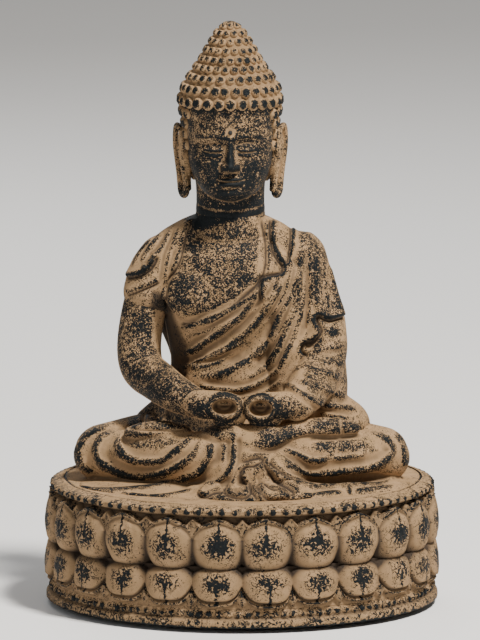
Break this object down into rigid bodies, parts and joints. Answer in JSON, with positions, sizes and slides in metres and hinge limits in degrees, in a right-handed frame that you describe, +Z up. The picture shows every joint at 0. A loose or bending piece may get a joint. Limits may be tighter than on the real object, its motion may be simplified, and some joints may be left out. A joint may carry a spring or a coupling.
{
  "type": "buddha statue",
  "caption": "Seated meditating figure in a draped robe on a round double-lotus throne, hollow cast stone with a clay-washed dark patina.",
  "frame": {"origin": "middle of the face the throne stands on, under the rubber pads", "axes": "+Z up, the figure faces -Y, +X towards the figure's own left"},
  "size_m": [0.272, 0.272, 0.4],
  "materials": {
    "cast_stone": "matte slate-black casting under a tan clay wash, rubbed dark on the high spots",
    "dark_inlay": "matte dark bead",
    "zinced_steel": "plain zinc-plated steel",
    "pad_rubber": "matte black rubber"
  },
  "bodies": {
    "root": {"foot_pads": "pad_rubber", "base_plate": "zinced_steel", "base_screws": "zinced_steel", "plinth": "cast_stone", "lower_lotus_course": "cast_stone", "upper_lotus_course": "cast_stone", "seat_slab": "cast_stone", "course_dowels": "zinced_steel", "lap": "cast_stone", "lap_dowels": "zinced_steel", "trunk": "cast_stone", "trunk_dowels": "zinced_steel", "right_arm": "cast_stone", "shoulder_dowel": "zinced_steel", "hands": "cast_stone", "hand_dowels": "zinced_steel", "wrist_dowels": "zinced_steel", "head": "cast_stone", "urna_bead": "dark_inlay", "tie_rod": "zinced_steel", "tie_nuts": "zinced_steel", "tie_washers": "zinced_steel"}
  },
  "joints": []
}
